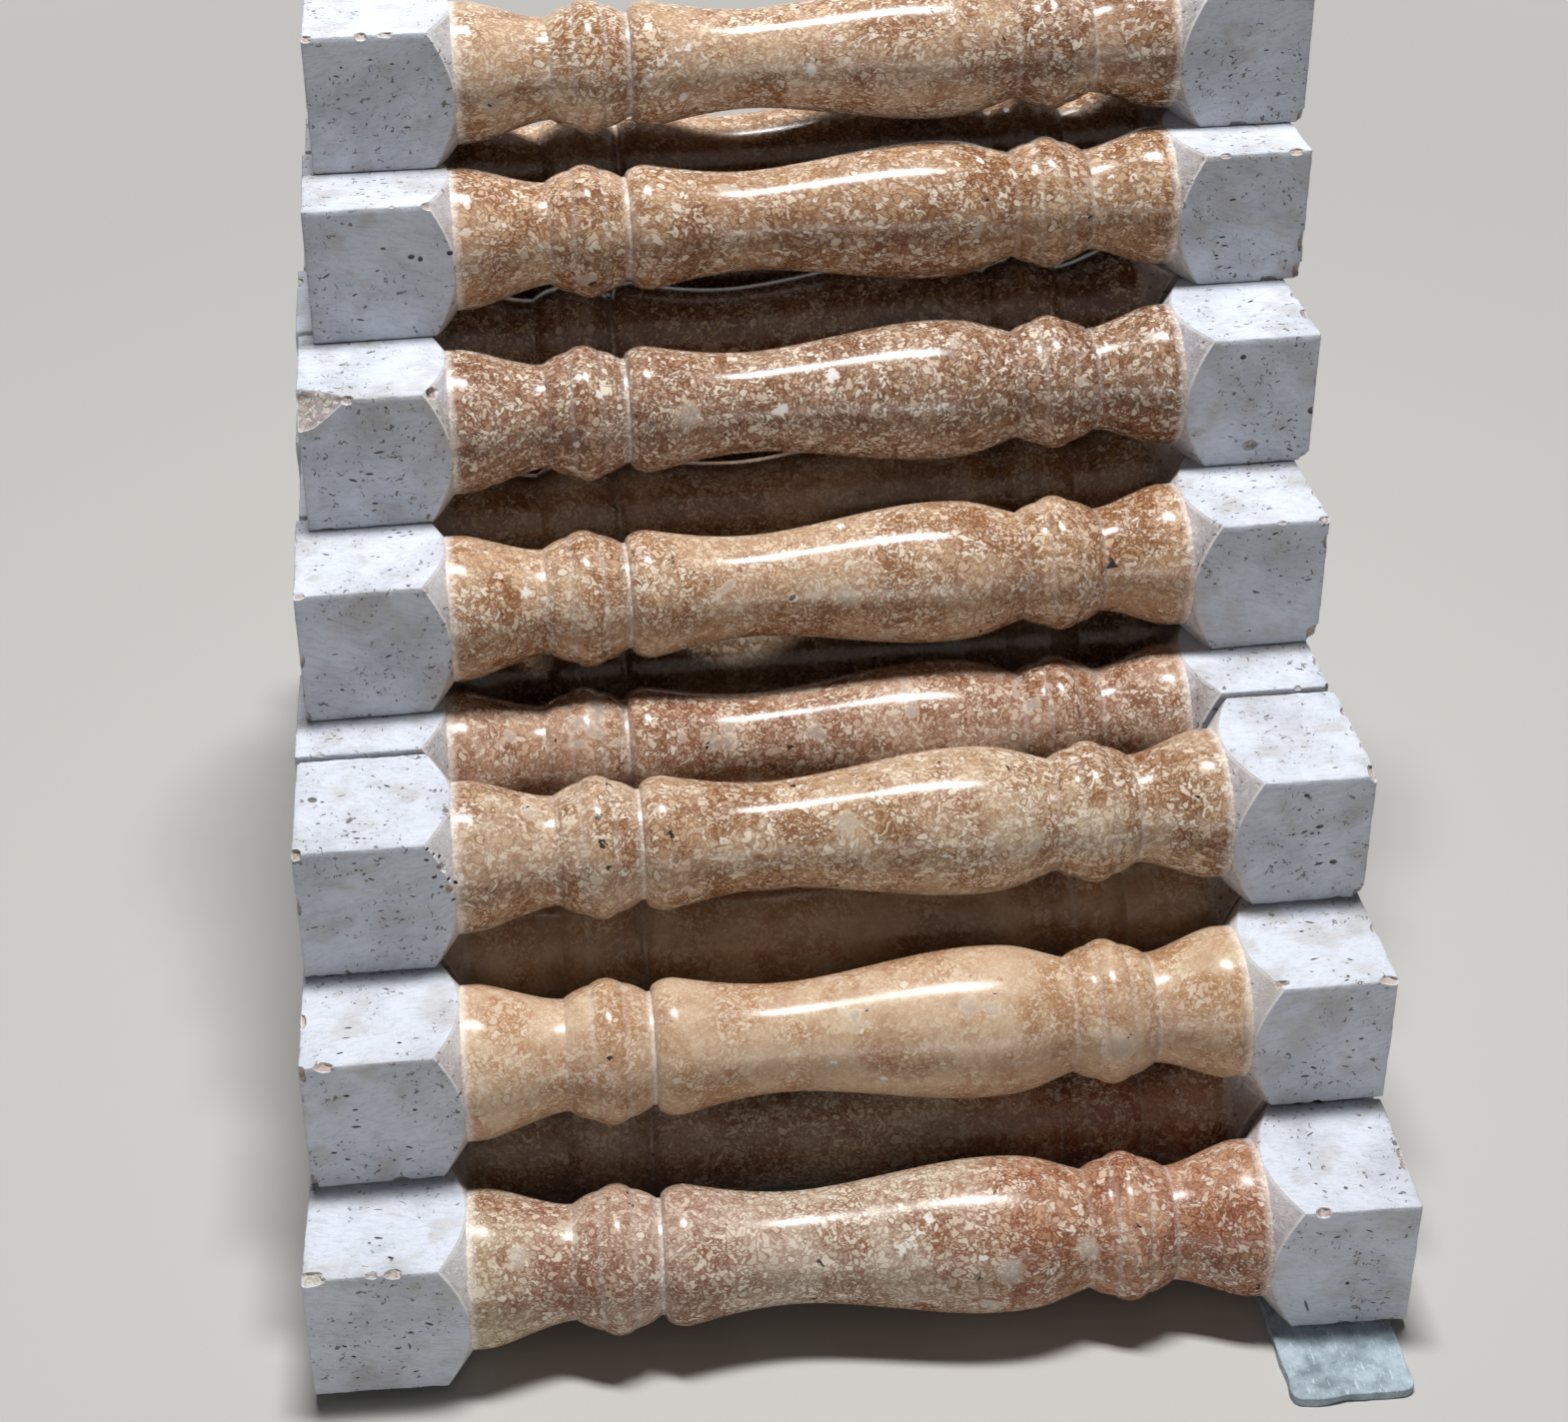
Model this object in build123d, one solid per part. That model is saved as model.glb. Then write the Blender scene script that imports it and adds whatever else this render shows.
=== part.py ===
"""Stack of turned stone balusters, laid on their sides in seven stepped courses on stone packer strips.

Millimetres, +Z up. X runs along the balusters, from their top blocks to their base blocks.
Y runs from the stepped front of the stack to its back. The origin is the middle of the stack's underside.
"""

import copy
import os
from dataclasses import dataclass
from math import sqrt

from build123d import *

# The square sawn billet that every baluster is turned from
block_side = 100.0
top_block_length = 100.0
base_block_length = 92.0
arris_chamfer = 1.5

# The cut from square to round: how far it reaches along the block's corners, its step down at mid face, and
# how far outside the corners the cut starts
shoulder_length = 17.5
shoulder_step = 0.5
corner_clearance = 2.0

# Lengths along the turned shaft, in order from the top block to the base block
lip_length = 9.0
top_flare_length = 57.0
outer_ovolo_length = 17.0
bead_length = 21.5
inner_ovolo_length = 15.5
groove_length = 2.5
collar_rise_length = 14.0
collar_fall_length = 70.0
belly_rise_length = 128.0
belly_fall_length = 61.0
base_flare_length = 49.5

# Diameters of the turned shaft
neck_diameter = 71.5
bead_line_diameter = 86.0
bead_diameter = 94.0
groove_diameter = 72.5
collar_diameter = 88.0
waist_diameter = 70.0
belly_relief = 1.2
belly_foot_diameter = 74.0
belly_foot_slope = -0.3
ovolo_bulge = 1.2

# How full the quarter-round in front of the collar is, as shares of its height and of its length
collar_lift = 0.6
collar_rounding = 0.55

# How the balusters lie in the stack: the gap between neighbours, and how far every other one slips endways
side_gap = 5.0
end_slip = 2.0

# How far the front of each course lies behind the front of the first, and how far it is shifted endways
course_2_setback = 88.0
course_3_setback = 173.0
course_4_setback = 324.0
course_5_setback = 405.0
course_6_setback = 489.0
course_7_setback = 543.0
course_2_shift = 5.0
course_3_shift = 7.0
course_4_shift = 13.0
course_5_shift = 21.0
course_6_shift = 31.0
course_7_shift = 38.0

# Stone packer strips under the two rows of blocks
packer_width = 84.0
packer_thickness = 6.0
packer_inset = 9.0
packer_reach_right = 70.0
packer_recess_left = 30.0
packer_joint_gap = 3.0
packer_corner_radius = 8.0
packer_back_overhang = 25.0


@dataclass
class Course:
    """One layer of balusters: how many lie side by side, where its front lies, and its skew in degrees."""

    count: int
    setback: float
    shift: float
    skew: float


courses = [
    Course(count=8, setback=0.0, shift=0.0, skew=-2.0),
    Course(count=7, setback=course_2_setback, shift=course_2_shift, skew=-0.3),
    Course(count=6, setback=course_3_setback, shift=course_3_shift, skew=-0.4),
    Course(count=4, setback=course_4_setback, shift=course_4_shift, skew=0.9),
    Course(count=3, setback=course_5_setback, shift=course_5_shift, skew=0.8),
    Course(count=2, setback=course_6_setback, shift=course_6_shift, skew=1.2),
    Course(count=1, setback=course_7_setback, shift=course_7_shift, skew=0.2),
]

bead_group_length = outer_ovolo_length + bead_length + inner_ovolo_length
shaft_length = (
    2 * lip_length
    + top_flare_length
    + 2 * bead_group_length
    + groove_length
    + collar_rise_length
    + collar_fall_length
    + belly_rise_length
    + belly_fall_length
    + base_flare_length
)
baluster_length = top_block_length + shaft_length + base_block_length
lip_diameter = block_side - 2 * shoulder_step
belly_diameter = block_side - 2 * belly_relief
pitch = block_side + side_gap


class Outline:
    """Edges of half of the turned outline, drawn from the top block towards the base block."""

    def __init__(self, x, diameter):
        self.at = Vector(x, 0, diameter / 2)
        self.edges = []

    def _next(self, length, diameter):
        return Vector(self.at.X + length, 0, diameter / 2)

    def line(self, length, diameter):
        end = self._next(length, diameter)
        self.edges.append(Line(self.at, end))
        self.at = end

    def arc(self, length, diameter, bulge):
        end = self._next(length, diameter)
        across = Vector(-(end - self.at).Z, 0, (end - self.at).X).normalized()
        self.edges.append(ThreePointArc(self.at, (self.at + end) / 2 + across * bulge, end))
        self.at = end

    def crest(self, length, peak_diameter):
        """An arc over a rounded moulding that ends at the diameter it started from."""
        start = self.at
        peak = self._next(length / 2, peak_diameter)
        end = self._next(length, 2 * start.Z)
        self.edges.append(ThreePointArc(start, peak, end))
        self.at = end

    def curve(self, length, diameter, leave, arrive, end_slope=0.0):
        """A smooth curve that leaves level; leave and arrive say how long its ends stay near level."""
        end = self._next(length, diameter)
        first = self.at + Vector(length * leave, 0, 0)
        second = end - Vector(length * arrive, 0, length * arrive * end_slope)
        self.edges.append(Bezier(self.at, first, second, end))
        self.at = end

    def rise(self, length, diameter):
        """A steep quarter-round that starts square to the shaft and ends level."""
        end = self._next(length, diameter)
        first = self.at + Vector(0, 0, (end - self.at).Z * collar_lift)
        second = end - Vector(length * collar_rounding, 0, 0)
        self.edges.append(Bezier(self.at, first, second, end))
        self.at = end


def bead_group(outline, first_ovolo_length, last_ovolo_length, end_diameter):
    """Ovolo, bead and ovolo, with a fine line cut each side of the bead."""
    outline.arc(first_ovolo_length, bead_line_diameter, ovolo_bulge)
    outline.crest(bead_length, bead_diameter)
    outline.arc(last_ovolo_length, end_diameter, ovolo_bulge)


def turned_envelope():
    """The solid that the lathe leaves: clear of the square at both ends, and the shaft between them."""
    corner_diameter = block_side * sqrt(2) + corner_clearance
    shaft = Outline(0, corner_diameter)
    shaft.line(top_block_length - shoulder_length, corner_diameter)
    shaft.line(shoulder_length, lip_diameter)
    shaft.line(lip_length, lip_diameter)
    shaft.curve(top_flare_length, neck_diameter, 0.22, 0.30)
    bead_group(shaft, outer_ovolo_length, inner_ovolo_length, groove_diameter)
    shaft.line(groove_length, groove_diameter)
    shaft.rise(collar_rise_length, collar_diameter)
    shaft.curve(collar_fall_length, waist_diameter, 0.08, 0.50)
    shaft.curve(belly_rise_length, belly_diameter, 0.30, 0.30)
    shaft.curve(belly_fall_length, belly_foot_diameter, 0.55, 0.45, belly_foot_slope)
    bead_group(shaft, inner_ovolo_length, outer_ovolo_length, neck_diameter)
    shaft.curve(base_flare_length, lip_diameter, 0.30, 0.25)
    shaft.line(lip_length, lip_diameter)
    shaft.line(shoulder_length, corner_diameter)
    shaft.line(base_block_length - shoulder_length, corner_diameter)
    closing = Polyline(shaft.at, (baluster_length, 0, 0), (0, 0, 0), (0, 0, corner_diameter / 2))
    half_section = make_face([*shaft.edges, closing])
    return revolve(half_section, Axis.X, 360)


def baluster():
    """A square billet, intersected with the turned envelope, its middle at the origin and its face down."""
    billet = Pos(baluster_length / 2, 0, 0) * Box(baluster_length, block_side, block_side)
    billet = chamfer(billet.edges(), arris_chamfer)
    turned = billet & turned_envelope()
    return Pos(-baluster_length / 2, 0, block_side / 2) * turned


def stacked(piece, course_number, place):
    """The piece at its place in a course, counted from the front, with the skew of that course."""
    course = courses[course_number]
    lift = packer_thickness + course_number * block_side
    slip = end_slip * (-1) ** (course_number + place) if place else 0.0
    course_front = Pos(course.shift, course.setback, lift) * Rot(0, 0, course.skew)
    return course_front * Pos(slip, block_side / 2 + place * pitch, 0) * piece


def packer(length):
    """A strip of split stone with its upright corners knocked round, its front end at Y = 0."""
    strip = Pos(0, length / 2, packer_thickness / 2) * Box(packer_width, length, packer_thickness)
    return fillet(strip.edges().filter_by(Axis.Z), packer_corner_radius)


def packers():
    """Two strips end to end under each row of blocks; those on the right reach out in front."""
    stack_depth = courses[0].count * pitch - side_gap
    strips = {}
    for side, direction, front in (
        ("left", -1, packer_recess_left),
        ("right", 1, -packer_reach_right),
    ):
        reach = stack_depth + packer_back_overhang - front
        strip_length = (reach - packer_joint_gap) / 2
        middle = direction * (baluster_length / 2 - packer_inset - packer_width / 2)
        strip = packer(strip_length)
        strips[f"packer_{side}_front"] = Pos(middle, front, 0) * strip
        strips[f"packer_{side}_back"] = Pos(middle, front + strip_length + packer_joint_gap, 0) * strip
    return strips


def stack():
    """Every piece of the stack by name, with the origin at the middle of the underside."""
    one = baluster()
    pieces = packers()
    for course_number, course in enumerate(courses):
        for place in range(course.count):
            name = f"course_{course_number + 1}_baluster_{place + 1}"
            pieces[name] = stacked(one, course_number, place)
    box = Compound(children=[copy.copy(piece) for piece in pieces.values()]).bounding_box()
    centre = Pos(-box.center().X, -box.center().Y, -box.min.Z)
    return {name: centre * piece for name, piece in pieces.items()}


os.makedirs("parts", exist_ok=True)
for name, piece in stack().items():
    export_step(piece, f"parts/{name}.step")
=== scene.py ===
# %% [markdown]
# # A stack of turned stone balusters
# Thirty-one balusters for a garden balustrade lie loose on their sides, seven courses high, each course
# stepped back from the one below. Every one was sawn from travertine as a square billet, 10 x 10 x 70 cm,
# then turned on a lathe between two square blocks. The shafts are polished, and the blocks are as the saw
# left them.
#
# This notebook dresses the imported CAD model: it loads the frame, models a baluster once, knocks it about as
# the real ones were, and lays a copy where every CAD baluster lies.

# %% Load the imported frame
import math
import random
from functools import partial
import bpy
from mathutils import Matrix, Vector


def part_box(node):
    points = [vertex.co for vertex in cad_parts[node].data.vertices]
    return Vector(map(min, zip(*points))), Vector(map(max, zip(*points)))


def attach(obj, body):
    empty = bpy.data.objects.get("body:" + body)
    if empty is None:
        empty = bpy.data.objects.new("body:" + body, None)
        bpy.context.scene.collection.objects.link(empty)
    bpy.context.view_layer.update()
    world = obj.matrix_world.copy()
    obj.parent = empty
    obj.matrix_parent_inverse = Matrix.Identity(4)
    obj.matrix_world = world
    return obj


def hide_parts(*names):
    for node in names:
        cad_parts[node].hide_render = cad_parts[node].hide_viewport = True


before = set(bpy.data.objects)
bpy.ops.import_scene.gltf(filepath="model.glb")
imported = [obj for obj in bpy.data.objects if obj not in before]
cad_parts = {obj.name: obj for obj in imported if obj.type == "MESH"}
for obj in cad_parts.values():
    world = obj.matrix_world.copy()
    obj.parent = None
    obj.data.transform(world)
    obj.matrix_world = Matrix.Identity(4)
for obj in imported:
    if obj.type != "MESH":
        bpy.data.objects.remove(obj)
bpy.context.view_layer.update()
from types import SimpleNamespace

import bpy
from mathutils import Matrix, Vector
from mathutils.bvhtree import BVHTree

# %% [markdown]
# ## Working by hand, in code
# Operators act on whatever is selected, so every step starts by selecting one object and nothing else.
# Lengths are given in millimetres, as a mason would, and turned to Blender's metres by one factor.

# %% Units and selection
mm = 0.001


def only(piece):
    """Makes a piece the one selected and active object."""
    bpy.ops.object.select_all(action="DESELECT")
    piece.select_set(True)
    bpy.context.view_layer.objects.active = piece


def copied(piece, name):
    """A copy with a mesh of its own."""
    twin = piece.copy()
    twin.data = piece.data.copy()
    twin.name = name
    bpy.context.collection.objects.link(twin)
    return twin


def applied(piece, kind, **settings):
    """Adds a modifier with these settings and applies it."""
    only(piece)
    bpy.ops.object.modifier_add(type=kind)
    modifier = piece.modifiers[-1]
    for setting, value in settings.items():
        setattr(modifier, setting, value)
    bpy.ops.object.modifier_apply(modifier=modifier.name)


def removed(*pieces):
    """Deletes pieces that were only tools."""
    for piece in pieces:
        only(piece)
        bpy.ops.object.delete()


# %% [markdown]
# ## The camera
# The photograph was taken from about 1.4 m above the ground, a little left of the stack's middle, and looks
# down by 30 degrees. The lens and the place were found by fitting a camera to the corners of the square
# blocks. A small shift lowers the view without tilting the camera, so that the stack fills the frame as it
# does there, and it is small enough for the stack to stay in the frame from other sides.

# %% Set up the camera
lens_mm = 63.2
lens_shift = -0.15
camera_place = Vector((-215.3, -1622.4, 1365.7)) * mm
camera_tilt_down = math.radians(29.82)
camera_turn_right = math.radians(6.73)
camera_roll = math.radians(-0.31)
camera_data = bpy.data.cameras.new("camera")
camera_data.lens = lens_mm
camera_data.shift_y = lens_shift
camera = bpy.data.objects.new("camera", camera_data)
bpy.context.collection.objects.link(camera)
camera.matrix_world = (
    Matrix.Translation(camera_place)
    @ Matrix.Rotation(-camera_turn_right, 4, "Z")
    @ Matrix.Rotation(math.radians(90) - camera_tilt_down, 4, "X")
    @ Matrix.Rotation(camera_roll, 4, "Z")
)
bpy.context.scene.camera = camera
bpy.context.scene.view_settings.view_transform = "Standard"
print("Camera", round(camera_place.length, 3), "m from the middle of the stack's foot")

# %% [markdown]
# ## Turning the shaft
# A turned shape is an outline spun round the lathe's axis. The outline could be a Bezier curve with a Screw
# modifier. Here it is drawn by extruding one vertex from point to point, because then each moulding has just
# the steps that it needs: few on the long shoulders, many on the small rounds. Lengths run from the top
# block to the base block.

# %% Sizes of the baluster
block_side = 100.0
top_block_length = 100.0
base_block_length = 92.0
shoulder_length = 17.5
lip_length = 9.0
top_flare_length = 57.0
outer_ovolo_length = 17.0
bead_length = 21.5
inner_ovolo_length = 15.5
groove_length = 2.5
collar_rise_length = 14.0
collar_fall_length = 70.0
belly_rise_length = 128.0
belly_fall_length = 61.0
base_flare_length = 49.5
# Just outside the corners of the square
corner_diameter = 143.4
lip_diameter = 99.0
neck_diameter = 71.5
bead_line_diameter = 86.0
bead_diameter = 94.0
groove_diameter = 72.5
collar_diameter = 88.0
waist_diameter = 70.0
belly_diameter = 97.6
belly_foot_diameter = 74.0
ovolo_bulge = 1.2
# How full the quarter-round in front of the collar is, as shares of its height and of its length
collar_lift = 0.6
collar_rounding = 0.55
bead_bulge = (bead_diameter - bead_line_diameter) / 2
bead_group_length = outer_ovolo_length + bead_length + inner_ovolo_length
baluster_length = (
    top_block_length
    + 2 * lip_length
    + top_flare_length
    + 2 * bead_group_length
    + groove_length
    + collar_rise_length
    + collar_fall_length
    + belly_rise_length
    + belly_fall_length
    + base_flare_length
    + base_block_length
)
print("Length of a baluster in mm:", baluster_length)


# %% [markdown]
# A mason's mouldings are straight strokes, shallow rounds and long sweeps. Each of these functions goes on
# from the outline's last point, and its step says how far apart the new points lie.


# %% Strokes of the outline
def stroke(outline, length, diameter, step, bulge=0.0):
    """A straight stroke, or a shallow round that bulges by that much."""
    x0, r0 = outline[-1]
    count = max(1, round(length / step))
    for i in range(1, count + 1):
        t = i / count
        radius = r0 + (diameter / 2 - r0) * t + 4 * bulge * t * (1 - t)
        outline.append((x0 + length * t, radius))


def sweep(outline, length, diameter, step, leave, arrive, slopes=(0.0, 0.0)):
    """A smooth cubic stroke; leave and arrive say how long its ends keep their slope."""
    x0, r0 = outline[-1]
    x3, r3 = x0 + length, diameter / 2
    x1, r1 = x0 + leave * length, r0 + leave * length * slopes[0]
    x2, r2 = x3 - arrive * length, r3 - arrive * length * slopes[1]
    count = max(3, round(length / step))
    for i in range(1, count + 1):
        t = i / count
        a, b, c, d = (1 - t) ** 3, 3 * t * (1 - t) ** 2, 3 * t * t * (1 - t), t**3
        outline.append((a * x0 + b * x1 + c * x2 + d * x3, a * r0 + b * r1 + c * r2 + d * r3))


def rise(outline, length, diameter, step):
    """A steep quarter-round that starts square to the shaft and ends level."""
    x0, r0 = outline[-1]
    x3, r3 = x0 + length, diameter / 2
    count = max(4, round(length / step))
    for i in range(1, count + 1):
        t = i / count
        a, b, c, d = (1 - t) ** 3, 3 * t * (1 - t) ** 2, 3 * t * t * (1 - t), t**3
        x = (a + b) * x0 + c * (x3 - collar_rounding * length) + d * x3
        r = a * r0 + b * (r0 + collar_lift * (r3 - r0)) + (c + d) * r3
        outline.append((x, r))


# %% The outline from end to end
# The outline starts and ends past the blocks, so that the cut goes right through them
overrun = 10.0
in_one_step = 1000


def turned_outline(step):
    """Lists (x, radius) from end to end of the lathe, with steps of about that size on the curves."""
    fine = step * 0.7
    start = -overrun
    outline = [(start, 0.0), (start, corner_diameter / 2)]
    stroke(outline, top_block_length - shoulder_length - start, corner_diameter, in_one_step)
    stroke(outline, shoulder_length, lip_diameter, step * 2)
    stroke(outline, lip_length, lip_diameter, step)
    sweep(outline, top_flare_length, neck_diameter, step, 0.22, 0.30)
    stroke(outline, outer_ovolo_length, bead_line_diameter, fine, ovolo_bulge)
    stroke(outline, bead_length, bead_line_diameter, fine, bead_bulge)
    stroke(outline, inner_ovolo_length, groove_diameter, fine, ovolo_bulge)
    stroke(outline, groove_length, groove_diameter, groove_length)
    rise(outline, collar_rise_length, collar_diameter, fine)
    sweep(outline, collar_fall_length, waist_diameter, step, 0.08, 0.50)
    sweep(outline, belly_rise_length, belly_diameter, step * 1.5, 0.30, 0.30)
    sweep(outline, belly_fall_length, belly_foot_diameter, step, 0.55, 0.45, (0.0, -0.3))
    stroke(outline, inner_ovolo_length, bead_line_diameter, fine, ovolo_bulge)
    stroke(outline, bead_length, bead_line_diameter, fine, bead_bulge)
    stroke(outline, outer_ovolo_length, neck_diameter, fine, ovolo_bulge)
    sweep(outline, base_flare_length, lip_diameter, step, 0.30, 0.25)
    stroke(outline, lip_length, lip_diameter, step)
    stroke(outline, shoulder_length, corner_diameter, step * 2)
    stroke(outline, base_block_length - shoulder_length - start, corner_diameter, in_one_step)
    outline.append((outline[-1][0], 0.0))
    return outline


print("A fine outline has", len(turned_outline(3.2)), "points")


# %% [markdown]
# ## The lathe
# A plane whose corners are merged leaves a single vertex. It is moved to the start of the outline, extruded
# along it, and the wire is spun once round the X axis. The two ends lie on the axis, so their doubles are
# merged.


# %% Spin it on the lathe
def spun(name, outline, segments):
    """The solid that the lathe would leave of a block of any size."""
    bpy.ops.mesh.primitive_plane_add(size=mm)
    piece = bpy.context.active_object
    piece.name = name
    bpy.ops.object.mode_set(mode="EDIT")
    bpy.ops.mesh.merge(type="CENTER")
    at = Vector((0, 0, 0))
    for x, radius in outline:
        target = Vector((x, 0, radius)) * mm
        if at.length == 0:
            bpy.ops.transform.translate(value=target)
        else:
            bpy.ops.mesh.extrude_vertices_move(TRANSFORM_OT_translate={"value": target - at})
        at = target
    bpy.ops.mesh.select_all(action="SELECT")
    bpy.ops.mesh.spin(steps=segments, angle=2 * math.pi, center=(0, 0, 0), axis=(1, 0, 0))
    bpy.ops.mesh.select_all(action="SELECT")
    bpy.ops.mesh.remove_doubles(threshold=0.02 * mm)
    bpy.ops.mesh.normals_make_consistent(inside=False)
    bpy.ops.object.mode_set(mode="OBJECT")
    return piece


# %% [markdown]
# ## The sawn billet
# The billet is a cube drawn out to a bar, with its arrises bevelled. It needs a fine grid only where wear
# will move its skin, on the two blocks, so planes cut it there. A Subdivision Surface modifier would round
# the blocks and put as many faces on the hidden middle.


# %% Saw the billet
arris_bevel = 1.6
grid_margin = 3.0


def sawn(name, grid):
    """A bar with bevelled arrises, its two blocks cut into a grid of that many millimetres."""
    bpy.ops.mesh.primitive_cube_add(size=1)
    piece = bpy.context.active_object
    piece.name = name
    piece.scale = Vector((baluster_length, block_side, block_side)) * mm
    piece.location.x = baluster_length / 2 * mm
    bpy.ops.object.transform_apply(location=True, rotation=False, scale=True)
    bpy.ops.object.mode_set(mode="EDIT")
    bpy.ops.mesh.bevel(offset=arris_bevel * mm, segments=2, affect="EDGES")
    half = block_side / 2
    reach = int((half - grid_margin) // grid)
    across = [i * grid for i in range(-reach, reach + 1)]
    along = [half + c for c in across] + [top_block_length]
    along += [baluster_length - c for c in along]
    for cuts, axis in ((along, (1, 0, 0)), (across, (0, 1, 0)), (across, (0, 0, 1))):
        for c in cuts:
            bpy.ops.mesh.select_all(action="SELECT")
            bpy.ops.mesh.bisect(plane_co=Vector(axis) * c * mm, plane_no=axis)
    bpy.ops.object.mode_set(mode="OBJECT")
    return piece


# %% [markdown]
# ## From square to round
# On the real lathe the billet spins and the chisel cuts the cone of the shoulder through its four corners.
# The same meeting of two shapes is a Boolean: what lies in the billet and in the turned envelope is the
# baluster. It draws the arched edge on each face by itself, which would be hard to model by hand. The
# balusters that show get a fine blank, and those inside the stack a plain one.


# %% Cut the baluster
def turned(name, step, segments, grid):
    """One baluster with its top block's end at the origin, lying along X."""
    billet = sawn(name, grid)
    envelope = spun("envelope", turned_outline(step), segments)
    applied(billet, "BOOLEAN", operation="INTERSECT", object=envelope, solver="MANIFOLD")
    removed(envelope)
    print(name, "has", len(billet.data.polygons), "faces")
    return billet


fine_blank = turned("fine_blank", step=3.2, segments=88, grid=5.0)
plain_blank = turned("plain_blank", step=7.0, segments=48, grid=10.0)

# %% [markdown]
# ## A node helper
# Materials are built from nodes. One function adds a node, sets it up and wires its inputs. Colours are
# written as on a paint card, in sRGB, and another function turns them to Blender's linear values.


# %% Add a node
def linear(hex_colour):
    """An sRGB hex colour as Blender's linear RGBA."""
    channels = [int(hex_colour[i : i + 2], 16) / 255 for i in (1, 3, 5)]
    return [c / 12.92 if c <= 0.04045 else ((c + 0.055) / 1.055) ** 2.4 for c in channels] + [1.0]


def node(tree, kind, inputs=None, ramp=None, **settings):
    """Adds a node. inputs maps a socket's name or number to a value, a socket, or a node."""
    made = tree.nodes.new("ShaderNode" + kind)
    for setting, value in settings.items():
        setattr(made, setting, value)
    for key, value in (inputs or {}).items():
        if isinstance(value, bpy.types.Node):
            value = next(socket for socket in value.outputs if socket.enabled)
        if isinstance(value, bpy.types.NodeSocket):
            tree.links.new(value, made.inputs[key])
        else:
            made.inputs[key].default_value = value
    if ramp:
        stops = made.color_ramp.elements
        while len(stops) < len(ramp):
            stops.new(1.0)
        for stop, (position, colour) in zip(stops, ramp):
            stop.position = position
            stop.color = colour
    return made


# A product, a mask with soft ends, a mix of two colours, and one colour tinted by another
times = {"operation": "MULTIPLY"}
smooth = {"interpolation_type": "SMOOTHSTEP"}
mixed = {"data_type": "RGBA"}
tinted = {"data_type": "RGBA", "blend_type": "MULTIPLY"}

# %% [markdown]
# ## Travertine
# Travertine is a limestone laid down by hot springs. It is a crowd of small pale pebbly clots with thin
# amber seams between them, full of gas bubbles. Some bubbles are open, as pits and slots, and some were
# filled later with white lime. Polished, the stone is tan to red-brown and shines. Sawn, it is pale and
# dusty, because the saw bruises the crystals.
#
# An image of a slab would show seams and the same figure on every piece. Noise textures have no seams, and
# each baluster reads them at another place of the quarry, so no two match. Four attributes are written on
# each mesh: "billet" is the place in the baluster, "quarry" the place in the quarry block, "depth" how many
# millimetres the skin lies under the sound surface, and "hollow" how many of them a pit or a slot took.

# %% Sizes of the figures in the stone
drift_size = 28 * mm
wriggle_size = 4.5 * mm
cloud_size = 48 * mm
clot_size = 4.8 * mm
pebble_size = 8.5 * mm
bubble_spacing = 8.5 * mm
scrape_width = 2.2 * mm
# Real crystals are under a tenth of a millimetre. The grain is drawn at one millimetre, so that it shows.
grain_size = 1.0 * mm

# How far the bed bends the figures, and how far the border of each figure wanders
bed_bend = 14 * mm
clot_curl = 12 * mm
pebble_curl = 4 * mm
mark_curl = 10 * mm
tone_curl = 160 * mm
dust_curl = 3 * mm

# %% Colours of dust, dirt, lime, and the painted shade in pits
white = linear("#FFFFFF")
cream = linear("#F0E6D6")
lime = linear("#E9E6E2")
polished_grain = linear("#D8D0C8")
# Painted shade: the dark inside of the pits in the polished shafts
pit_shadow = linear("#2E2420")
sawn_dust = linear("#D4DCE7")
sawn_dirt = linear("#ACB1B9")
sawn_stain = linear("#ABA294")
sawn_slot = linear("#77716E")
sawn_scrape = linear("#F1F0F0")
sawn_grain = linear("#E8E6E8")
print("Lime in linear values:", [round(channel, 3) for channel in lime])

# %% [markdown]
# The bed of the stone drifts and wriggles. Every figure is drawn on places bent by two noises, so that all of
# them bend together, as they do in the quarry. Blender's noises lie mostly between 0.3 and 0.7, around 0.5,
# and the Map Range node turns them into masks: 0 below one value, 1 above another.

# %% The bed
shaft_middle = (top_block_length + baluster_length - base_block_length) / 2
shaft_half = shaft_middle - top_block_length


def bedded(add):
    """Everything that the figures of the stone share, by name."""
    bed = SimpleNamespace()
    bed.billet = add("Attribute", attribute_name="billet").outputs["Vector"]
    bed.parts = add("SeparateXYZ", {0: bed.billet})
    bed.along = bed.parts.outputs[0]
    bed.on_shaft = add("Math", {0: bed.along, 1: shaft_middle * mm, 2: shaft_half * mm}, operation="COMPARE")
    quarry = add("Attribute", attribute_name="quarry").outputs["Vector"]
    drift = add("TexNoise", {"Vector": quarry, "Scale": 1 / drift_size, "Detail": 2.0}).outputs["Color"]
    bed.drift = add("SeparateColor", {0: drift})
    bed.bent = add("VectorMath", {0: drift, 1: (bed_bend,) * 3, 2: quarry}, operation="MULTIPLY_ADD")
    bed.wriggle = add("TexNoise", {"Vector": bed.bent, "Scale": 1 / wriggle_size, "Detail": 1.0})
    wriggled = bed.wriggle.outputs["Color"]
    bed.curly = add("VectorMath", {0: wriggled, 1: (clot_curl,) * 3, 2: bed.bent}, operation="MULTIPLY_ADD")
    bed.clouds = add("TexNoise", {"Vector": bed.bent, "Scale": 1 / cloud_size,
                                  "Detail": 4.0, "Roughness": 0.6})
    bed.grain = add("TexNoise", {"Vector": quarry, "Scale": 1 / grain_size, "Detail": 1.0})
    return bed


def share_along(add, bed, figure, curl):
    """The place along the baluster as a share of its length, made to wander by a figure."""
    ragged = add("Math", {0: figure, 1: curl, 2: bed.along}, operation="MULTIPLY_ADD")
    centred = add("Math", {0: ragged, 1: -curl / 2}, operation="ADD")
    return add("Math", {0: centred, 1: baluster_length * mm}, operation="DIVIDE")


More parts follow.
